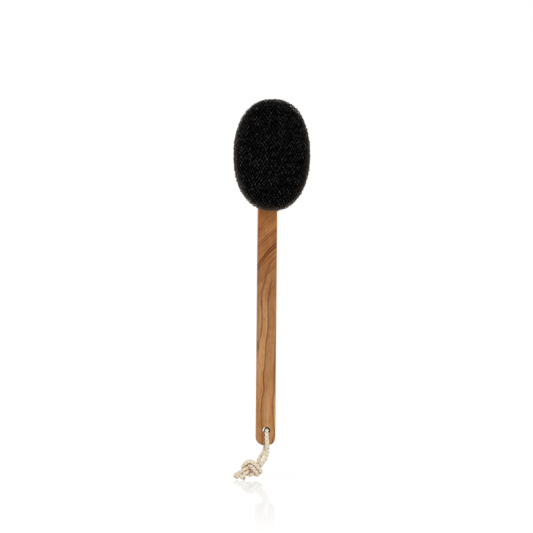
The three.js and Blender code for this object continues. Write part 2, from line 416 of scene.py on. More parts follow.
# Through the doubled overhand knot and out to the cut end, as the camera sees it, in millimetres
# from the hole's centre: across, up and towards the camera.
FRONT_KNOT = [
    (-7.0, -41.6, 2.6), (-9.8, -45.2, 1.2), (-13.8, -47.5, 1.0), (-17.8, -48.0, 1.6),
    (-21.2, -46.6, 1.8), (-23.6, -43.8, 1.8), (-24.0, -40.6, 2.6), (-22.2, -37.4, 4.0),
    (-18.7, -34.9, 5.2), (-14.6, -33.9, 6.1), (-11.0, -35.8, 6.8), (-8.2, -39.4, 7.0),
    (-6.2, -43.0, 6.0), (-5.3, -45.4, 3.4), (-6.9, -47.4, 0.2), (-9.9, -47.2, -2.0),
    (-12.8, -44.8, -2.5), (-15.8, -42.2, -1.8), (-18.8, -41.0, 0.8), (-21.3, -42.0, 4.0),
    (-24.2, -43.9, 5.8), (-27.0, -45.7, 5.6), (-29.8, -47.9, 5.0), (-32.3, -51.2, 4.4),
]
BACK_KNOT = [
    (-8.0, -37.8, 0.6), (-8.7, -41.2, 1.4), (-10.8, -43.8, 1.6), (-14.3, -44.9, 1.6),
    (-17.9, -44.6, 1.0), (-20.2, -42.6, 0.4), (-20.4, -40.2, 2.0), (-18.6, -38.9, 4.4),
    (-16.0, -39.6, 6.4), (-12.9, -41.5, 7.6), (-9.8, -43.9, 7.0), (-8.0, -46.2, 4.6),
    (-9.0, -47.8, 0.4), (-11.8, -47.0, -2.4), (-14.5, -44.8, -3.0), (-16.9, -43.4, -2.0),
    (-18.3, -42.9, 1.4), (-19.8, -43.4, 4.8), (-21.5, -45.3, 6.8), (-23.3, -48.2, 6.6),
    (-24.8, -52.4, 6.0),
]


def through(points, step):
    """An even line of points along the smooth curve through the given ones."""
    ends = np.vstack([2 * points[0] - points[1], points, 2 * points[-1] - points[-2]])
    share = np.linspace(0, 1, 24, endpoint=False)[:, None]
    fine = []
    for a, b, c, d in zip(ends, ends[1:], ends[2:], ends[3:]):
        cubic = -a + 3 * b - 3 * c + d
        square = 2 * a - 5 * b + 4 * c - d
        fine.append(0.5 * (2 * b + (c - a) * share + square * share**2 + cubic * share**3))
    fine = np.vstack([*fine, points[-1:]])
    along = lengths(fine)
    places = np.linspace(0, along[-1], round(along[-1] / step) + 1)
    return np.column_stack([np.interp(places, along, fine[:, axis]) for axis in range(3)])


def settle(lines, rounds=160, gap=SETTLED_GAP):
    """Moves the two halves apart wherever they lie in each other, as a tied knot settles."""
    step = np.linalg.norm(lines[0][1] - lines[0][0])
    which = np.repeat([0, 1], [len(line) for line in lines])
    place = np.concatenate([np.arange(len(line)) for line in lines])
    near = (which[:, None] == which) & (np.abs(place[:, None] - place) * step < 2.2 * gap)
    points = start = np.vstack(lines)
    held = points[:, 2] > HOLE[2] - HELD_LENGTH
    for _ in range(rounds):
        apart = points[:, None] - points
        far = np.linalg.norm(apart, axis=2) + 1e-9
        push = np.where(near | (far > gap), 0, (gap - far) / far * 0.35)
        moved = points + (push[:, :, None] * apart).sum(axis=1) / 2
        moved += 0.02 * (start - moved)
        for half in (0, 1):
            inner = np.flatnonzero(which == half)[1:-1]
            moved[inner] += 0.25 * ((moved[inner - 1] + moved[inner + 1]) / 2 - moved[inner])
        points = np.where(held[:, None], points, moved)
    return [points[which == half] for half in (0, 1)]


def carried_frames(line, first_across):
    """Tangents, and two directions square to them that turn with the line and never spin round it."""
    tangents = unit(np.gradient(line, axis=0))
    across = np.empty_like(line)
    now = np.asarray(first_across, float)
    for i, tangent in enumerate(tangents):
        now = unit(now - tangent * (now @ tangent))
        across[i] = now
    return tangents, across, np.cross(tangents, across)


def strand_rings(middle, outwards, half_width, half_depth):
    """Rings of points round one strand: wide along the cord's surface, thin towards its middle.

    The second answer runs along the strand's fibres, for its colour and bump.
    """
    outwards, sideways = square_to(outwards, unit(np.gradient(middle, axis=0)))
    along = lengths(middle)[:, None]
    turn = np.linspace(0, TURN, STRAND_SIDES, endpoint=False)
    twist = TURN * along / YARN_PITCH
    yarns = 1 - YARN_DEPTH + YARN_DEPTH * np.cos(YARNS * turn - twist)
    yarns = yarns * np.sqrt(np.clip((along[-1] - along) / END_ROUNDING, 0.2, 1))
    wide = (np.cos(turn) * yarns * half_width[:, None])[:, :, None] * sideways[:, None]
    high = (np.sin(turn) * yarns * half_depth[:, None])[:, :, None] * outwards[:, None]
    run = np.broadcast_to(along / FIBRE_LENGTH, yarns.shape)
    fibres = np.stack([np.cos(turn - twist), np.sin(turn - twist), run], axis=2)
    return middle[:, None] + wide + high, fibres


def crowding(points, along, lines, own):
    """Near 1 where another part of the cord lies against these points, 0 in the open."""
    nearest = np.full(len(points), 1.0)
    for line in lines:
        for place, at in zip(line[::3], lengths(line)[::3]):
            apart = np.linalg.norm(points - place, axis=1)
            if line is lines[own]:
                apart = np.where(np.abs(along - at) < OWN_STRETCH, 1, apart)
            nearest = np.minimum(nearest, apart)
    return np.clip((FAR_CROWD - nearest) / (FAR_CROWD - NEAR_CROWD), 0, 1)


def loose_fibres(rng, places, ways, reach, radius):
    """Thin curved hairs from places, along ways, each with closed ends."""
    points, faces = [], []
    for place, way in zip(places, ways):
        side = unit(np.cross(way, rng.normal(size=3)))
        other = unit(np.cross(way, side))
        length = reach * rng.uniform(0.4, 1)
        faces += ring_faces(len(HAIR_MARKS), len(HAIR_CORNERS), len(points))
        for share in HAIR_MARKS:
            middle = place + length * (share * way + HAIR_BEND * share**2 * side)
            size = radius * (1 - 0.55 * share)
            for turn in HAIR_CORNERS:
                points.append(middle + size * (math.cos(turn) * side + math.sin(turn) * other))
    return np.array(points), faces


def fuzz(rng, line, strands):
    """Short hairs all over the strands."""
    picks = rng.choice(len(strands[0]), FUZZ_HAIRS // STRANDS, replace=False)
    roots = np.vstack([strand[picks] for strand in strands[:STRANDS]])
    away = unit(roots - line[np.tile(picks // STRAND_SIDES, STRANDS)])
    ways = unit(away + 0.8 * rng.normal(size=roots.shape))
    return loose_fibres(rng, roots, ways, FUZZ_LENGTH, FUZZ_RADIUS)


def frayed_end(rng, line, tangents, across, deep, loose):
    """The yarn ends that stand out of the cut."""
    spots = rng.normal(size=(FRAYED_YARNS, 2))
    spots *= (rng.uniform(0, 1, FRAYED_YARNS) ** 0.5 / np.linalg.norm(spots, axis=1))[:, None]
    spots *= (PLAIT_RADIUS + 0.6 * STRAND_HALF_DEPTH) * loose[-1]
    roots = line[-1] - 1.2 * MM * tangents[-1] + spots[:, :1] * across[-1] + spots[:, 1:] * deep[-1]
    ways = unit(1.6 * tangents[-1] + 0.35 * unit(roots - line[-1]) + 0.25 * rng.normal(size=roots.shape))
    return loose_fibres(rng, roots, ways, FRAY_LENGTH, FRAYED_RADIUS)


def plait(name, lines, own, first_across, swelling, reach, seed, material):
    """Four strands plaited round a core, two each way, that swell and fray at the cut end."""
    line = lines[own]
    rng = np.random.default_rng(seed)
    tangents, across, deep = carried_frames(line, first_across)
    along = lengths(line)
    open_end = np.clip(1 - (along[-1] - along) / reach, 0, 1) ** 1.5
    free = np.clip((along - SQUEEZED_LENGTH) / SWELLING_LENGTH, 0, 1)
    loose = (1 + FREE_SWELLING * free) * (1 + swelling * open_end)
    climb = TURN * along / PLAIT_PITCH
    hull = ((PLAIT_RADIUS + PLAIT_WAVE + STRAND_HALF_DEPTH) * loose)[:, None]
    points, faces, grooves, fibres = [], [], [], []
    for strand in range(STRANDS + 1):
        middle, out, wide, tall = line, deep, CORE_RADIUS * loose, CORE_RADIUS * loose
        if strand < STRANDS:
            way = 1 if strand < 2 else -1
            turn = way * climb + math.pi * (strand % 2)
            out = np.cos(turn)[:, None] * across + np.sin(turn)[:, None] * deep
            middle = line + ((PLAIT_RADIUS + way * PLAIT_WAVE * np.cos(2 * climb)) * loose)[:, None] * out
            wide, tall = STRAND_HALF_WIDTH * loose**1.5, STRAND_HALF_DEPTH * loose**2
        rings, run = strand_rings(middle, out, wide, tall)
        faces += ring_faces(len(line), STRAND_SIDES, strand * rings[..., 0].size)
        # groove: how deep inside the cord a point lies, raised towards the cut end; the cotton turns it into
        # painted shade, tan in the grooves.
        groove = 1 - np.linalg.norm(rings - line[:, None], axis=2) / hull
        grooves.append((groove + 0.25 * open_end[:, None]).ravel())
        points.append(rings.reshape(-1, 3))
        fibres.append(run.reshape(-1, 3) + [0, 0, 7 * strand])
    shell = np.vstack(points)
    # Painted shade: crowded is near 1 where another part of the cord lies close, and turns the cotton browner
    # there.
    crowded = crowding(shell, np.tile(np.repeat(along, STRAND_SIDES), STRANDS + 1), lines, own)
    loose_ends = [fuzz(rng, line, points), frayed_end(rng, line, tangents, across, deep, loose)]
    for hairs, hair_faces in loose_ends:
        faces += [tuple(len(shell) + corner for corner in face) for face in hair_faces]
        shell = np.vstack([shell, hairs])
    piece = mesh_piece(name, shell, faces, material, "hang_cord")
    hairs, frays = (len(ends) for ends, _ in loose_ends)
    # Painted shade, near-black, on the cord inside the hanging hole and just behind it.
    cord_hole_shade = np.clip((5 * MM - np.abs(shell[:, 1])) / MM, 0, 1)
    point_values(piece, "cord_hole_shade", cord_hole_shade * (shell[:, 2] > HOLE[2] - HOLE_RADIUS - MM))
    # groove drives painted shade: none on the loose hairs, a middling amount on the frayed yarns.
    point_values(piece, "groove", np.concatenate([*grooves, np.zeros(hairs), np.full(frays, 0.3)]))
    point_values(piece, "crowded", np.concatenate([crowded, np.zeros(hairs + frays)]))
    point_values(piece, "fibres", np.vstack([*fibres, np.zeros((hairs + frays, 3))]))
    return piece


def cotton():
    """Undyed cotton: cream on the strands, with random stains and painted shade: tan in the grooves, browner
    where the knot shades it, near-black inside the hole.
    """
    finish = Finish("cotton_plait", 0.92, 0.15)
    hairs = finish.noise(finish.parted(finish.read("fibres", "Vector")), 1, 9, 3, 0.65)
    stains = finish.noise(finish.place(), 1, 260, 3, 0.6)
    shade = finish.times(hairs, 0.3, finish.minus(finish.read("groove"), 0.15))
    yarn = finish.ramp(shade, (0.08, (0.9, 0.81, 0.66)), (0.27, (0.8, 0.65, 0.47)), (0.5, (0.5, 0.32, 0.165)))
    # Over the yarn: random stains, then painted shade where the knot crowds the cord, then painted shade
    # inside the hole.
    for share, most, colour in (
        (finish.between(stains, 0.5, 0.72), 0.5, (0.58, 0.42, 0.26)),
        (finish.read("crowded"), 0.9, (0.46, 0.25, 0.105)),
        (finish.read("cord_hole_shade"), 0.95, (0.035, 0.02, 0.012)),
    ):
        yarn = finish.mix(finish.times(share, most), yarn, colour)
    finish.bump(hairs, 0.12 * MM, 0.8)
    finish.look(
        Base_Color=yarn, Subsurface_Weight=0.2, Subsurface_Radius=(1, 0.62, 0.36), Subsurface_Scale=1.4 * MM,
    )
    return finish.material


def make_cord():
    material = cotton()
    routes = [
        np.vstack([HOLE + MM * np.array(route), [as_seen(*place) for place in knot]])
        for route, knot in ((FRONT_ROUTE, FRONT_KNOT), (BACK_ROUTE, BACK_KNOT))
    ]
    lines = [through(line, CORD_STEP) for line in settle([through(route, 1 * MM) for route in routes])]
    front = plait("cord_front_half", lines, 0, (1, 0, 0), 0.5, 10 * MM, 3, material)
    back = plait("cord_back_half", lines, 1, (-1, 0, 0), 0.32, 7 * MM, 4, material)
    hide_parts("cord_front_strand", "cord_knot", "cord_end_left")
    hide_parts("cord_back_strand", "cord_end_right")
    for half, line in ((front, lines[0]), (back, lines[1])):
        float(lengths(line)[-1])


make_cord()

# --- The head: a foam pad under a knitted net, whose hem a tape band holds round the board ---

net_low, net_high = corners("knit_cover")
foam_low, foam_high = corners("foam_core")
board_low, board_high = corners("head_board")
band_low, band_high = corners("edge_band")
TOP_SLACK = 0.6 * MM  # how far the net's top lies below the CAD pad's
PAD_MIDDLE = (net_low[2] + net_high[2] - TOP_SLACK) / 2
PAD_HALF_WIDTH = net_high[0]
PAD_HALF_HEIGHT = (net_high[2] - net_low[2] - TOP_SLACK) / 2
PAD_LEAN = 0.0055  # the pad sits on its board a third of a degree clockwise, as photographed
PAD_CROWN = -net_low[1]  # how far the crown stands out from the handle's middle
PAD_HEM = -net_high[1]
PAD_BELLY = -board_low[1] + 8 * MM  # the depth of the pad's widest line
PAD_FLARE = -board_low[1] - 1.5 * MM  # where the pad starts to stand out past its foot
FOOT_SHARE = 1 - 5 / 42  # the foot's size as a share of the widest line's
CROWN_POWER = 2.5  # 2 is a round dome, more is flatter with fuller shoulders
OVAL_POWER = 2.2  # 2 is an ellipse, more is squarer
NET_INSET = 0.4 * MM  # the net's strands lie this far inside the pad's own outline
LAYER_GAP = 0.8 * MM

WALE_PITCH = 1.7 * MM  # the net's upright strands, each joined to its neighbours by turns
OPENING_PITCH = 5.6 * MM
STRAND_SWAY = 0.66 * MM
STRAND_RISE = 0.3 * MM  # how far a strand passes over its neighbour at a join
# How often a strand changes along its way, and by how much.
JOIN_DRIFT = (5 * MM, 1.35)
SWAY_DRIFT = (1.8 * MM, 0.42 * MM)
SLOW_RISE = (4 * MM, 0.15 * MM)
QUICK_RISE = (1.5 * MM, 0.22 * MM)
RIM_RISE = (1.1 * MM, 0.9 * MM)
PAINTED_GLINT_DRIFT = (0.8 * MM, 1.5)
PAINTED_GLINT = 0.43
JOIN_PAINTED_GLINT = 0.12  # how bright a strand's painted glint is where it crosses over, as a share
SLACK_TURN = math.radians(62)  # the direction, from the pad's middle, of the loosest loops
SLACK_SPREAD = 0.32  # how far to either side they go, in radians
SLACK_MARK = 0.74  # how far they lie out, as a share of the way to the hem
RIM_MARK = 0.77  # the same for the rim, where small loops stand out all round
MARK_SPREAD = 0.12
SLACK_RISE = 1 * MM
SLACK_WAVE = 0.45 * MM
NET_STEP = 0.72 * MM
FILAMENTS = 2
FILAMENT_RADIUS = 0.25 * MM
FILAMENT_SPREAD = 0.22 * MM  # from the strand's middle to each of its filaments
FILAMENT_TWIST = 3.4 * MM
FILAMENT_SIDES = 3


def pad_section(inset, foot, samples=240):
    """The pad's section from the crown's middle to its foot: shares of the half sizes, and depths."""
    crown = np.linspace(math.pi / 2, 0, samples)
    skirt = np.linspace(math.pi / 2, 0, samples // 4)[1:]
    flare = PAD_FLARE + inset
    shares = [np.cos(crown) ** (2 / CROWN_POWER), FOOT_SHARE + (1 - FOOT_SHARE) * np.sin(skirt)]
    depths = [
        PAD_BELLY + (PAD_CROWN - inset - PAD_BELLY) * np.sin(crown) ** (2 / CROWN_POWER),
        flare + (PAD_BELLY - flare) * (1 - np.cos(skirt)),
        np.linspace(flare, foot, 9)[1:],
    ]
    return np.concatenate([*shares, np.full(8, FOOT_SHARE)]), np.concatenate(depths)


def oval_reach(angle, half_width, half_height):
    """How far the rim of an oval lies from its middle, in the direction of angle."""
    wide = np.abs(np.cos(angle) / half_width) ** OVAL_POWER
    high = np.abs(np.sin(angle) / half_height) ** OVAL_POWER
    return (wide + high) ** (-1 / OVAL_POWER)


def leaned(places):
    """Places turned a little clockwise about the pad's lower end, as the pad was glued on."""
    turned = places.copy()
    turned[:, 0] += PAD_LEAN * (places[:, 2] - net_low[2])
    turned[:, 2] -= PAD_LEAN * places[:, 0]
    return turned


class PadSurface:
    """The stretched pad's surface, measured out from the crown's middle along its sections.

    A mark says how far out a place lies, from 0 at the crown's middle to 1 at the foot.
    """

    def __init__(self, inset, foot, rows=24, marks=200):
        self.half_sizes = PAD_HALF_WIDTH - inset, PAD_HALF_HEIGHT - inset
        shares, depths = pad_section(inset, foot)
        all_round = self.reach(np.linspace(0, math.pi / 2, 91))
        self.reaches = np.linspace(all_round.min(), all_round.max(), rows)
        self.sizes = np.empty(rows)
        self.share, self.depth = np.empty((rows, marks)), np.empty((rows, marks))
        for row, reach in enumerate(self.reaches):
            along = lengths(np.column_stack([shares * reach, depths]))
            places = np.linspace(0, 1, marks) * along[-1]
            self.sizes[row] = along[-1]
            self.share[row] = np.interp(places, along, shares)
            self.depth[row] = np.interp(places, along, depths)

    def reach(self, angle):
        """How far the oval's rim is from its middle, that way."""
        return oval_reach(angle, *self.half_sizes)

    def size(self, angle):
        """How long the way over the pad is from its middle to its foot, in that direction."""
        return np.interp(self.reach(angle), self.reaches, self.sizes)

    def look_up(self, table, angle, mark):
        row = (self.reach(angle) - self.reaches[0]) / (self.reaches[1] - self.reaches[0])
        column = np.clip(mark, 0, 1) * (table.shape[1] - 1)
        low_row = np.clip(row.astype(int), 0, table.shape[0] - 2)
        low_column = np.clip(column.astype(int), 0, table.shape[1] - 2)
        row, column = row - low_row, column - low_column
        low, high = (
            table[at, low_column] * (1 - column) + table[at, low_column + 1] * column
            for at in (low_row, low_row + 1)
        )
        return low * (1 - row) + high * row

    def place(self, angle, mark):
        """Places on the surface, and the directions straight out of it."""
        reach = self.reach(angle)
        share, depth = (self.look_up(table, angle, mark) for table in (self.share, self.depth))
        inner = np.clip(mark, 0.004, 0.996)
        ahead, behind = inner + 0.004, inner - 0.004
        widening = self.look_up(self.share, angle, ahead) - self.look_up(self.share, angle, behind)
        sinking = self.look_up(self.depth, angle, behind) - self.look_up(self.depth, angle, ahead)
        outwards = unit(np.column_stack([sinking, widening * reach]))
        ways = np.column_stack([np.cos(angle), np.sin(angle)])
        flank = unit(np.sign(ways) * np.abs(ways / self.half_sizes) ** (OVAL_POWER - 1) / self.half_sizes)
        out = (share * reach)[:, None] * ways
        places = np.column_stack([out[:, 0], -depth, PAD_MIDDLE + out[:, 1]])
        aside = outwards[:, :1] * flank
        return leaned(places), np.column_stack([aside[:, 0], -outwards[:, 1], aside[:, 1]])


def drift(rng, places, spacing, size):
    """An even wandering value along a strand."""
    knots = np.arange(places.min() - spacing, places.max() + 2 * spacing, spacing)
    return size * np.interp(places, knots, rng.uniform(-1, 1, len(knots)))


def net_strands(surface, slant, rng):
    """The net's strands over the pad: middle line, direction out of the pad, and how bright its painted glint
    is.
    """
    strands = []
    widest, tallest = surface.size(np.array([0, math.pi / 2]))
    for wale in range(-int(widest / WALE_PITCH), int(widest / WALE_PITCH) + 1):
        up = np.arange(-tallest, tallest, NET_STEP)
        side = 1 if wale % 2 else -1
        phase = TURN * up / OPENING_PITCH + drift(rng, up, *JOIN_DRIFT)
        wave = np.tanh(1.5 * np.sin(phase))
        across = wale * WALE_PITCH + side * STRAND_SWAY * wave + drift(rng, up, *SWAY_DRIFT)
        # The knit lies slanting on the pad, and its rows wave slowly.
        across += slant * up + 1.1 * MM * np.sin(up / (23 * MM) + wale * 0.11)
        height = up + 0.9 * MM * np.sin(wale * 0.31 + up / (31 * MM))
        angle = np.arctan2(height, across)
        mark = np.hypot(across, height) / surface.size(angle)
        rise = side * STRAND_RISE * np.cos(phase + wale * math.pi / 2)
        rise += drift(rng, up, *SLOW_RISE) + drift(rng, up, *QUICK_RISE)
        slack = ((angle - SLACK_TURN) / SLACK_SPREAD) ** 2 + ((mark - SLACK_MARK) / MARK_SPREAD) ** 2
        rise += np.exp(-slack) * (SLACK_RISE + SLACK_WAVE * wave)
        rim = np.exp(-(((mark - RIM_MARK) / MARK_SPREAD) ** 2))
        rise += rim * np.clip(drift(rng, up, *RIM_RISE), -0.1 * MM, RIM_RISE[1])
        places, normals = surface.place(angle, mark)
        lines = places + rise[:, None] * normals
        # Painted glint: the colour is lighter where a strand turns at a join, and drifts at random along it.
        painted_glint = (JOIN_PAINTED_GLINT + (1 - JOIN_PAINTED_GLINT) * np.abs(wave) ** 2.5) * PAINTED_GLINT
        painted_glint = painted_glint * np.exp(drift(rng, up, *PAINTED_GLINT_DRIFT))
        # Each stretch between two places at the foot is one strand.
        turns = np.diff(np.concatenate([[0], (mark < 1).astype(int), [0]]))
        for start, end in zip(np.flatnonzero(turns > 0), np.flatnonzero(turns < 0)):
            if end - start > 4:
                strands.append((lines[start:end], normals[start:end], painted_glint[start:end]))
    return strands


def filament_rings(line, normals, phase, rng):
    """Rings round one of a strand's filaments, twisted about its middle, and how far out it lies."""
    outwards, sideways = square_to(normals, unit(np.gradient(line, axis=0)))
    turn = TURN * lengths(line) / FILAMENT_TWIST + phase
    spread = FILAMENT_SPREAD * (1 + drift(rng, lengths(line), 6 * MM, 0.35))[:, None]
    middle = line + spread * (np.cos(turn)[:, None] * sideways + np.sin(turn)[:, None] * outwards)
    corner = np.linspace(0, TURN, FILAMENT_SIDES, endpoint=False)[:, None]
    ring = np.cos(corner) * sideways[:, None] + np.sin(corner) * outwards[:, None]
    return middle[:, None] + FILAMENT_RADIUS * ring, np.sin(turn)


def make_net_layer(name, inset, slant, seed, material):
    rng = np.random.default_rng(seed)
    points, faces, flanks, painted_glints = [], [], [], []
    start = 0
    for line, normals, painted_glint in net_strands(PadSurface(inset, PAD_HEM), slant, rng):
        # Painted rim light and sheen: the flanks are lighter where they turn away from the front, face down,
        # and face to the right.
        flank = (1 + normals[:, 1]) * (1 + 0.9 * np.clip(-1.2 * normals[:, 2], 0, 1))
        flank *= 1 + 1.3 * np.clip(1.5 * normals[:, 0], 0, 1)
        for filament in range(FILAMENTS):
            rings, outside = filament_rings(line, normals, TURN * filament / FILAMENTS, rng)
            faces += ring_faces(len(line), FILAMENT_SIDES, start)
            start += len(line) * FILAMENT_SIDES
            points.append(rings.reshape(-1, 3))
            flanks.append(np.repeat(flank / 2, FILAMENT_SIDES))
            # Painted glint, brighter where the twist carries a filament outwards.
            painted_glints.append(np.repeat(painted_glint * (0.7 + 0.3 * outside), FILAMENT_SIDES))
    net = mesh_piece(name, np.vstack(points), faces, material, "brush")
    point_values(net, "flank", np.concatenate(flanks))
    point_values(net, "painted_glint", np.concatenate(painted_glints))
    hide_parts("knit_cover")
    return net


def grey(value):
    return value, value, value


def net_finish(name, dark, light):
    """Near-black filament, lighter by turns where it has painted glints, with a painted brown-grey rim light
    and sheen on the flanks.
    """
    finish = Finish(name, 0.35, 0.03)
    middling = tuple(0.38 * value for value in light)
    # Painted glints: a lighter colour where the strands are marked to glint.
    glint_colour = finish.ramp(finish.read("painted_glint"), (0.1, dark), (0.6, middling), (1, light))
    # Painted rim light and sheen, brown-grey, on the flanks.
    painted_rim_sheen = finish.ramp(
        finish.read("flank"), (0.03, grey(0)), (0.18, (0.013, 0.0108, 0.0092)),
        (0.5, (0.1, 0.079, 0.062)), (1, (0.2, 0.16, 0.128)),
    )
    finish.look(Base_Color=finish.mix(1, glint_colour, painted_rim_sheen, "ADD"))
    return finish.material


def foam_finish():
    finish = Finish("black_open_foam", 0.95, 0)
    pores = finish.pores(finish.place(), 1, 900)
    finish.look(Base_Color=finish.ramp(pores, (0, grey(0.0002)), (1, grey(0.0014))))
    finish.bump(pores, 0.4 * MM, 0.8)
    return finish.material


FOAM_CLEARANCE = 0.25 * MM  # between the foam and its cover


def make_foam(material, around=128, rows=56):
    surface = PadSurface(PAD_HALF_WIDTH - foam_high[0], -foam_high[1])
    angles = np.linspace(0, TURN, around, endpoint=False)
    marks = np.linspace(0, 1, rows + 1)[1:]
    places, normals = surface.place(*(grid.ravel() for grid in np.meshgrid(angles, marks)))
    dents = np.sin(places[:, 0] * 310 + 1) * np.sin(places[:, 2] * 270) * FOAM_CLEARANCE
    places = places - (FOAM_CLEARANCE + dents)[:, None] * normals
    places[:, 1] = np.clip(places[:, 1], foam_low[1], foam_high[1])
    crown, last = len(places), (rows - 1) * around
    ends = [(0, foam_low[1] + FOAM_CLEARANCE, PAD_MIDDLE), (0, foam_high[1], PAD_MIDDLE)]
    points = np.vstack([places, ends])
    faces = []
    for side in range(around):
        following = (side + 1) % around
        faces += [(crown, side, following), (crown + 1, last + following, last + side)]
        for low in range(0, last, around):
            faces.append((low + side, low + around + side, low + around + following, low + following))
    foam = mesh_piece("foam_pad", points, faces, material, "brush")
    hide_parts("foam_core")


def tape_finish():
    """Woven black tape: fine ribs across it, and a row of stitches near each edge."""
    finish = Finish("black_woven_tape", 0.8, 0.2)
    along, up, _ = finish.parted(finish.read("tape", "Vector"))
    ribs = finish.waves(along, 0.9 * MM)
    warp = finish.waves(up, 0.8 * MM)
    weave = finish.times(finish.times(ribs, warp), 0.25, finish.times(ribs, 0.25, 0.5))
    from_row = finish.math("ABSOLUTE", finish.minus(finish.math("ABSOLUTE", up), STITCH_ROW))
    dash = finish.between(finish.waves(along, 3.2 * MM), -0.35, 0.1)
    stitch = finish.times(finish.between(from_row, 0.45 * MM, 0.2 * MM), dash)
    tape = finish.ramp(weave, (0, grey(0.005)), (1, (0.026, 0.025, 0.024)))
    finish.look(Base_Color=finish.mix(stitch, tape, (0.06, 0.058, 0.056)))
    finish.bump(finish.times(weave, 0.5, stitch), 0.25 * MM)
    return finish.material


TAPE_SECTION = [
    (-0.6, -0.9), (-0.6, 0.9), (-0.45, 1), (0.1, 1), (0.3, 0.92), (0.36, 0.5), (0.4, 0), (0.36, -0.5),
    (0.3, -0.92), (0.1, -1), (-0.45, -1),
]  # out from the tape's middle in millimetres, and up in shares of its half width
TAPE_LAP = math.radians(9)
TAPE_INSET = 0.6 * MM  # from the CAD band's outside to the tape's middle
TAPE_STEP = 0.3 * MM  # how far the tape's end stands out over its start
STITCH_ROW = 2.2 * MM  # from the tape's middle


def make_band(material, around=360):
    """The tape carried once round the foot of the pad, its end lapped over its start."""
    half_width, half_height = band_high[0] - TAPE_INSET, (band_high[2] - band_low[2]) / 2 - TAPE_INSET
    middle, tall = (band_low[1] + band_high[1]) / 2, (band_high[1] - band_low[1]) / 2
    turn = math.pi / 2 + TAPE_LAP / 2 + np.linspace(0, TURN + TAPE_LAP, around)
    step_up = TAPE_STEP * np.clip((turn - turn[-1] + 1.15 * TAPE_LAP) / (0.15 * TAPE_LAP), 0, 1)
    pucker = 0.06 * MM * np.sin(turn * 61) + 0.05 * MM * np.sin(turn * 37 + 1)
    reach = oval_reach(turn, half_width, half_height)
    along = lengths(np.column_stack([reach * np.cos(turn), reach * np.sin(turn)]))
    rings, marks = [], []
    for across, up in TAPE_SECTION:
        out = oval_reach(turn, half_width + across * MM, half_height + across * MM) + step_up
        out = out + pucker * (across > 0)
        height = np.full(around, middle + up * tall)
        rings.append(leaned(np.column_stack([out * np.cos(turn), height, PAD_MIDDLE + out * np.sin(turn)])))
        marks.append(np.column_stack([along, np.full(around, up * tall), np.zeros(around)]))
    points = np.stack(rings, axis=1).reshape(-1, 3)
    faces = ring_faces(around, len(TAPE_SECTION))
    band = mesh_piece("hem_tape", points, faces, material, "brush")
    point_values(band, "tape", np.stack(marks, axis=1).reshape(-1, 3))
    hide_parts("edge_band")
    return band


def make_head():
    make_foam(foam_finish())
    band = make_band(tape_finish())
    filament = net_finish("black_filament", grey(0.0006), (0.15, 0.146, 0.15))
    # The inner layer's filament is the outer one's thread with painted shade: darker colours.
    shaded = net_finish("shaded_filament", grey(0.0002), grey(0.005))
    outer = make_net_layer("net_outer", NET_INSET, 0.02, 11, filament)
    inner = make_net_layer("net_inner", NET_INSET + LAYER_GAP, -0.05, 23, shaded)
    wide, tall = (2 * float(size) for size in PadSurface(NET_INSET, PAD_HEM).size(np.array([0, math.pi / 2])))


make_head()

# --- The handle, the head board and its screws ---

handle_low, handle_high = corners("handle")
HANDLE_HALF_THICKNESS = handle_high[1]
HANDLE_HALF_WIDTH = handle_high[0]
HANDLE_TOP_SHARE = 20.9 / 21  # the handle's width at its upper end, as a share of the lower one
HANDLE_EDGE = 1.8 * MM
END_ROUND = 9.5 * MM
HOLE_CHAMFER = 0.25 * MM
BOARD_EDGE = 1.2 * MM
SCREW_BOXES = [corners("board_screw_lower"), corners("board_screw_upper")]
SCREW_HEIGHTS = [(low[2] + high[2]) / 2 for low, high in SCREW_BOXES]
SCREW_TOP = SCREW_BOXES[0][1][1]
SCREW_HEAD_RADIUS = 3.5 * MM
SCREW_SLOT = (4 * MM, 2.6 * MM, 0.8 * MM)  # long, deep and wide
SHAFT_HOLE_RADIUS = 1.9 * MM
SINK_RADIUS = SCREW_HEAD_RADIUS + 0.3 * MM
CUT_PAST = 1 * MM  # how far a cutter stands out of the wood
CUT_LAP = 0.02 * MM
SMOOTH_ANGLE = math.radians(35)


def start_fresh(piece=None):
    """Only this piece selected and active, in object mode, or nothing selected."""
    if bpy.context.object and bpy.context.object.mode != "OBJECT":
        bpy.ops.object.mode_set(mode="OBJECT")
    bpy.ops.object.select_all(action="DESELECT")
    if piece:
        piece.select_set(True)
        bpy.context.view_layer.objects.active = piece


def place_applied():
    """The active object, with its place, turn and size written into its mesh."""
    bpy.ops.object.transform_apply(location=True, rotation=True, scale=True)
    return bpy.context.object


def pick(piece, kind, wanted):
    """Selects, in edit mode, the edges or faces that the wanted test takes."""
    bpy.ops.mesh.select_mode(type=kind)
    bpy.ops.mesh.select_all(action="DESELECT")
    bpy.ops.object.mode_set(mode="OBJECT")
    if kind == "FACE":
        for face in piece.data.polygons:
            face.select = bool(wanted(face.normal))
    else:
        points = piece.data.vertices
        for edge in piece.data.edges:
            edge.select = bool(wanted(*(points[i].co for i in edge.vertices)))
    bpy.ops.object.mode_set(mode="EDIT")


def round_picked(size, segments, profile=0.5):
    bpy.ops.mesh.bevel(offset=size, offset_type="OFFSET", segments=segments, profile=profile, affect="EDGES")


def close_mesh():
    """Turns all faces outwards, and ends edit mode."""
    bpy.ops.mesh.select_all(action="SELECT")
    bpy.ops.mesh.normals_make_consistent(inside=False)
    bpy.ops.object.mode_set(mode="OBJECT")


def settle_piece(piece, name, material, node):
    """Finishes a piece made by hand: place into its mesh, smooth shading, material, body."""
    start_fresh(piece)
    place_applied()
    bpy.ops.object.shade_smooth_by_angle(angle=SMOOTH_ANGLE)
    dress(piece, name, material, "brush")
    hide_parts(node)


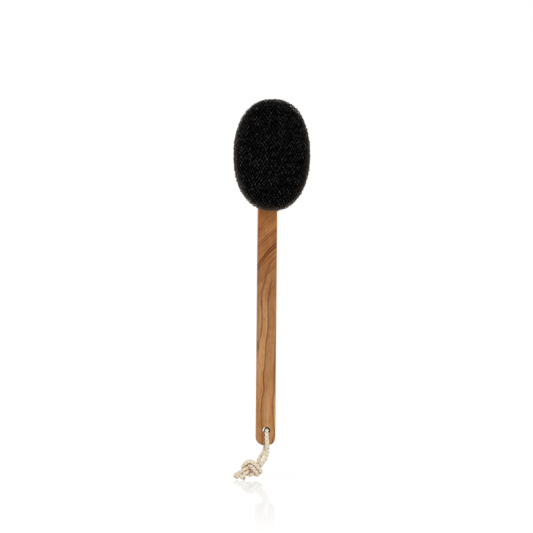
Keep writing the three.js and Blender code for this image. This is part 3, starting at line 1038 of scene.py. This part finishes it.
def cut_away(piece, cutters):
    """Takes each cutter's shape out of a piece, and throws the cutter away."""
    for cutter in cutters:
        start_fresh(piece)
        saw = piece.modifiers.new("cut", "BOOLEAN")
        saw.operation = "DIFFERENCE"
        saw.solver = "EXACT"
        saw.object = cutter
        bpy.ops.object.modifier_apply(modifier=saw.name)
        bpy.data.objects.remove(cutter)


def turned_cutters(height, segments, *profile):
    """Cutters on an axis along Y, one between each two (radius, place) pairs. The straight ones lap
    over their neighbours."""
    cutters = []
    for (front_radius, front), (back_radius, back) in zip(profile, profile[1:]):
        lap = CUT_LAP if front_radius == back_radius else 0
        start_fresh()
        bpy.ops.mesh.primitive_cone_add(
            vertices=segments, radius1=front_radius, radius2=back_radius, depth=back - front + 2 * lap,
            location=(0, (front + back) / 2, height), rotation=(-math.pi / 2, 0, 0),
        )
        cutters.append(place_applied())
    return cutters


def make_handle(material):
    start_fresh()
    half = HANDLE_HALF_THICKNESS
    bpy.ops.mesh.primitive_cube_add(size=1, location=(0, 0, (handle_low[2] + handle_high[2]) / 2))
    bpy.context.object.scale = (2 * HANDLE_HALF_WIDTH, 2 * half, handle_high[2] - handle_low[2])
    handle = place_applied()
    bpy.ops.object.mode_set(mode="EDIT")
    # The upper end is a little narrower, both ends are round, and the long edges are broken.
    pick(handle, "FACE", lambda normal: normal.z > 0.9)
    bpy.ops.transform.resize(value=(HANDLE_TOP_SHARE, 1, 1), center_override=(0, 0, handle_high[2]))
    pick(handle, "EDGE", lambda a, b: abs(a.z - b.z) < 1e-5 and abs(a.x - b.x) < 1e-5)
    round_picked(END_ROUND, 28, 0.54)
    bpy.ops.mesh.select_all(action="SELECT")
    bpy.ops.mesh.remove_doubles(threshold=1e-5)
    pick(handle, "EDGE", lambda a, b: abs(abs(a.y) - half) < 1e-6 and abs(a.y - b.y) < 1e-6)
    round_picked(HANDLE_EDGE, 8)
    close_mesh()
    # The hanging hole with its broken edges, and a countersunk hole for each screw.
    outside, bore_end = half + CUT_PAST, half - HOLE_CHAMFER
    mouth = HOLE_RADIUS + HOLE_CHAMFER + CUT_PAST
    cutters = turned_cutters(
        HOLE[2], 96, (mouth, -outside), (HOLE_RADIUS, -bore_end), (HOLE_RADIUS, bore_end), (mouth, outside),
    )
    for height in SCREW_HEIGHTS:
        shaft, *countersink = turned_cutters(
            height, 64, (SHAFT_HOLE_RADIUS, -outside), (SHAFT_HOLE_RADIUS, SCREW_TOP - 2.7 * MM),
            (SINK_RADIUS, SCREW_TOP - 0.5 * MM), (SINK_RADIUS, outside),
        )
        cutters += [*countersink, shaft]
    cut_away(handle, cutters)
    settle_piece(handle, "oiled_handle", material, "handle")


def make_board(material):
    start_fresh()
    half_width, half_height = board_high[0], (board_high[2] - board_low[2]) / 2
    bpy.ops.mesh.primitive_cylinder_add(
        vertices=160, radius=1, depth=board_high[1] - board_low[1],
        location=(0, (board_low[1] + board_high[1]) / 2, PAD_MIDDLE), rotation=(-math.pi / 2, 0, 0),
    )
    board = place_applied()
    for point in board.data.vertices:
        angle = math.atan2(point.co.z - PAD_MIDDLE, point.co.x)
        reach = float(oval_reach(angle, half_width, half_height))
        point.co.x, point.co.z = reach * math.cos(angle), PAD_MIDDLE + reach * math.sin(angle)
    bpy.ops.object.mode_set(mode="EDIT")
    pick(board, "EDGE", lambda a, b: abs(a.y - b.y) < 1e-6)
    round_picked(BOARD_EDGE, 5)
    close_mesh()
    settle_piece(board, "head_board_oval", material, "head_board")


def make_screws(material):
    """One countersunk cross-slot screw, drawn out from a disc step by step, and its copy."""
    (_, back, _), (_, front, _) = SCREW_BOXES[0]
    middle = (0, front, SCREW_HEIGHTS[0])
    start_fresh()
    bpy.ops.mesh.primitive_circle_add(
        vertices=48, radius=SCREW_HEAD_RADIUS, fill_type="NGON",
        location=middle, rotation=(-math.pi / 2, 0, 0),
    )
    screw = place_applied()
    # How far down each step goes, and the radius there, in millimetres: head, shank, threads, tip.
    steps = [(0.4, 3.5), (2.0, 1.5), (0.6, 1.5)]
    steps += [(0.75, 1.95), (0.75, 1.5)] * 6
    steps += [(1.2, 1.2), (1.7, 0.45), (0.5, 0.05)]
    radius, depth = 3.5, 0
    bpy.ops.object.mode_set(mode="EDIT")
    bpy.ops.mesh.select_all(action="SELECT")
    for down, wanted in steps:
        if depth + down > (front - back) / MM - 0.05:
            break
        depth += down
        bpy.ops.mesh.extrude_region_move(TRANSFORM_OT_translate={"value": (0, -down * MM, 0)})
        place = (0, front - depth * MM, SCREW_HEIGHTS[0])
        bpy.ops.transform.resize(value=(wanted / radius, 1, wanted / radius), center_override=place)
        radius = wanted
    close_mesh()
    cutters = []
    for size in (SCREW_SLOT, SCREW_SLOT[::-1]):
        start_fresh()
        bpy.ops.mesh.primitive_cube_add(size=1, location=middle)
        bpy.context.object.scale = size
        cutters.append(place_applied())
    cut_away(screw, cutters)
    start_fresh(screw)
    bpy.ops.object.duplicate()
    upper = bpy.context.object
    upper.location.z = SCREW_HEIGHTS[1] - SCREW_HEIGHTS[0]
    settle_piece(screw, "brass_screw_lower", material, "board_screw_lower")
    settle_piece(upper, "brass_screw_upper", material, "board_screw_upper")


# --- Wood and brass ---

# The handle's veins on its front, in millimetres: (across, up) places, then width and strength.
SLANTING_VEINS = [
    (((-11, 166.3), (-9, 167.6), (-6.5, 171), (-3.6, 177), (0.4, 186), (5, 196)), 1.5, 0.42),
    (((-11, 151.4), (-4, 157.6), (3, 163.6), (10, 170.3)), 1.4, 0.42),
    (((-11, 148.6), (-4, 155.1), (3, 161.2), (10, 167.4)), 1.7, 0.5),
    (((-11, 127.3), (-6.5, 134.6), (-0.7, 142.9), (4, 147.8), (10, 152.4)), 2.3, 0.9),
    (((-11, 123.2), (-6.5, 130.9), (-0.7, 139.6), (4, 144.4), (10, 148.9)), 2.0, 0.85),
    (((-11, 120.2), (-6, 127), (0, 134.6), (5, 139.6), (10, 143.8)), 1.6, 0.3),
]
PALE_STREAKS = [
    (((-11, 150), (-4, 156.4), (3, 162.4), (10, 168.9)), 0.8, 0.4),
    (((-11, 125.3), (-6.5, 132.8), (-0.7, 141.3), (4, 146.1), (10, 150.6)), 0.8, 0.5),
    (((-11, 121), (-6.5, 128.8), (-0.7, 137.3), (4, 142), (10, 146.3)), 0.9, 0.35),
]
# The wood's rings follow this one, and it fades out towards the head.
HEART_VEIN = ((
    (5, 116), (2.6, 101), (0.5, 86.7), (1.1, 71.3), (0.1, 53.6), (-1.8, 36), (-2.7, 17.3),
    (-4, 3), (-3.2, -8), (-5.4, -17.9), (-5.9, -27.8), (-6.2, -39.9), (-5.1, -52), (-4.4, -72),
), 1.35, 0.78)
UPRIGHT_VEINS = [
    ((
        (12, 141), (9.8, 138.4), (2.4, 129.2), (-0.5, 120.8), (-3.2, 109.8), (-6.6, 92.2),
        (-5.7, 69.1), (-7, 53.6), (-9.7, 40.4), (-12, 20),
    ), 1.7, 0.68),
    HEART_VEIN,
    ((
        (10, 62), (8.8, 41.5), (8.3, 17.3), (8.2, -9.1), (7.1, -17.9), (7.2, -34.4), (7.9, -47.6),
        (9, -54.2), (7.5, -63), (6, -72),
    ), 1.2, 0.72),
]
ACROSS_SPAN = (-20 * MM, 20 * MM)
UP_SPAN = (-75 * MM, 285 * MM)


def drawn_curve(finish, value, span, side_span, places):
    """Reads a line drawn in millimetres: the value runs along the span, the answer over the other."""
    points = []
    for along, aside in sorted(places):
        share = (along * MM - span[0]) / (span[1] - span[0])
        points.append((share, (aside * MM - side_span[0]) / (side_span[1] - side_span[0])))
    line = finish.curve(finish.between(value, *span, smooth=False), points)
    return finish.times(line, side_span[1] - side_span[0], side_span[0])


def upright_line(finish, z, places):
    """How far across the handle an upright line lies, at each height."""
    return drawn_curve(finish, z, UP_SPAN, ACROSS_SPAN, [(up, aside) for aside, up in places])


def beside(finish, line, value, width, strength):
    """As strong as asked on the line, and nothing a width away from it."""
    away = finish.math("ABSOLUTE", finish.minus(value, line))
    return finish.times(finish.between(away, width * MM, 0.1 * width * MM), strength)


def oiled_wood():
    """Oiled teak: slanting dark veins below the head, then long ones down to the hole."""
    finish = Finish("oiled_teak", 0.48, 0.1)
    real_x, y, real_z = real = finish.place()
    wander = finish.times(finish.noise(real, 0.35, 130, 4), 2 * MM, -1 * MM)
    depth = finish.math("ADD", y, HANDLE_HALF_THICKNESS)
    x = finish.math("ADD", finish.times(depth, 0.35, real_x), wander)
    z = finish.math("ADD", finish.times(depth, 0.7, real_z), wander)
    # The rings follow the heart vein, and bend away from it towards the head.
    above = finish.math("MAXIMUM", finish.minus(z, 100 * MM), 0.0)
    bend = finish.math("DIVIDE", finish.times(above, above), finish.math("ADD", above, 14 * MM))
    rings = finish.minus(finish.minus(x, upright_line(finish, z, HEART_VEIN[0])), bend)
    fibres = finish.noise((x, y, z), 0.03, 1900, 3, 0.7)
    flecks = finish.pores((x, y, z), 0.22, 330)
    # The wood's tone along the height, darker and redder below the head; the top stop, just under the head,
    # is painted light against the pad's shadow.
    wood = finish.ramp(
        finish.between(real_z, *UP_SPAN, smooth=False),
        (0.12, (0.64, 0.347, 0.15)), (0.35, (0.61, 0.338, 0.15)), (0.443, (0.555, 0.296, 0.13)),
        (0.535, (0.42, 0.2, 0.077)), (0.6, (0.475, 0.214, 0.08)), (0.66, (0.48, 0.22, 0.078)),
        (0.73, (0.7, 0.3, 0.096)),
    )
    for place, stretch, scale, detail, roughness, low, high, tint in (
        ((rings, y, z), 0.02, 420, 3, 0.6, 0.3, 0.72, (0.76, 0.7, 0.64)),
        ((rings, y, z), 0.02, 120, 2, 0.5, 0.42, 0.68, (0.8, 0.73, 0.68)),
        ((x, y, z), 0.4, 90, 2, 0.5, 0.45, 0.68, (0.9, 0.83, 0.74)),
        ((x, y, z), 0.6, 330, 4, 0.65, 0.46, 0.7, (0.86, 0.76, 0.68)),
    ):
        dark = finish.between(finish.noise(place, stretch, scale, detail, roughness), low, high)
        wood = finish.mix(dark, wood, tint, "MULTIPLY")
    wood = finish.mix(finish.times(finish.between(fibres, 0.35, 0.7), 0.2), wood, (0.16, 0.07, 0.03))
    wood = finish.mix(finish.times(finish.between(flecks, 0.13, 0.04), 0.5), wood, (0.13, 0.045, 0.02))
    uneven = finish.times(finish.between(finish.noise((x, y, z), 0.25, 140, 3), 0.36, 0.64), 0.4, 0.85)
    for streaks, strengths, colour in (
        (PALE_STREAKS, 1, (0.56, 0.23, 0.06)), (SLANTING_VEINS, uneven, (0.115, 0.027, 0.009)),
    ):
        for places, width, strength in streaks:
            line = drawn_curve(finish, x, ACROSS_SPAN, UP_SPAN, places)
            share = finish.math("MULTIPLY", beside(finish, line, z, width, strength), strengths, clamp=True)
            wood = finish.mix(share, wood, colour)
    for vein in UPRIGHT_VEINS:
        places, width, strength = vein
        share = beside(finish, upright_line(finish, z, places), x, width, strength)
        if vein is HEART_VEIN:
            share = finish.times(share, finish.between(real_z, 122 * MM, 106 * MM))
        wood = finish.mix(finish.math("MULTIPLY", share, uneven, clamp=True), wood, (0.17, 0.054, 0.022))
    # The rounded long edges: a painted pale highlight on the right; on the left, painted warm rim light on
    # the side face and painted shade on the rounding.
    rounded = finish.between(finish.math("ABSOLUTE", y), 2.5 * MM, 3.6 * MM)
    right = finish.times(finish.between(real_x, 9.5 * MM, 9.85 * MM), finish.times(rounded, 0.5, 0.3))
    wood = finish.mix(right, wood, (0.85, 0.45, 0.16))
    left = finish.mix(rounded, (1.25, 1.0, 0.6), (0.88, 0.85, 0.8))
    wood = finish.mix(finish.between(real_x, -9 * MM, -9.7 * MM), wood, left, "MULTIPLY")
    # The bore wall gets painted shade, near-black, and a roughness of 1.
    below = finish.minus(real_z, float(HOLE[2]))
    radius = finish.math("SQRT", finish.times(real_x, real_x, finish.times(below, below)))
    bored = finish.between(radius, HOLE_RADIUS + 0.2 * MM, HOLE_RADIUS + 0.02 * MM)
    wood = finish.mix(bored, wood, (0.008, 0.004, 0.003))
    finish.look(Base_Color=wood, Roughness=finish.math("MAXIMUM", finish.times(fibres, 0.2, 0.36), bored))
    finish.bump(fibres, 0.06 * MM, 0.6)
    return finish.material


def sanded_wood():
    """The head board's paler wood, with long arched rings."""
    finish = Finish("sanded_board_wood", 0.62, 0.25)
    x, y, z = place = finish.place()
    arch = finish.times(finish.times(x, x), 18.0)
    rings = finish.math("ADD", x, finish.times(z, 0.06, arch))
    bands = finish.noise((rings, y, z), 0.03, 260, 3, 0.6)
    fibres = finish.noise(place, 0.03, 1700, 3, 0.7)
    wood = finish.ramp(finish.between(bands, 0.25, 0.75), (0, (0.52, 0.3, 0.14)), (1, (0.3, 0.15, 0.062)))
    dark = finish.times(finish.between(fibres, 0.35, 0.7), 0.3)
    finish.look(Base_Color=finish.mix(dark, wood, (0.2, 0.1, 0.045)))
    finish.bump(fibres, 0.08 * MM, 0.7)
    return finish.material


def dull_brass():
    finish = Finish("dull_brass", 0.38)
    tarnish = finish.noise(finish.place(), 1, 900, 3, 0.6)
    brass = finish.ramp(finish.between(tarnish, 0.3, 0.8), (0, (0.66, 0.47, 0.2)), (1, (0.46, 0.31, 0.13)))
    finish.look(Metallic=1, Base_Color=brass, Roughness=finish.times(tarnish, 0.3, 0.22))
    finish.bump(finish.noise(finish.place(), 0.06, 5000, 2), 0.02 * MM, 0.5)
    return finish.material


make_handle(oiled_wood())
make_board(sanded_wood())
make_screws(dull_brass())
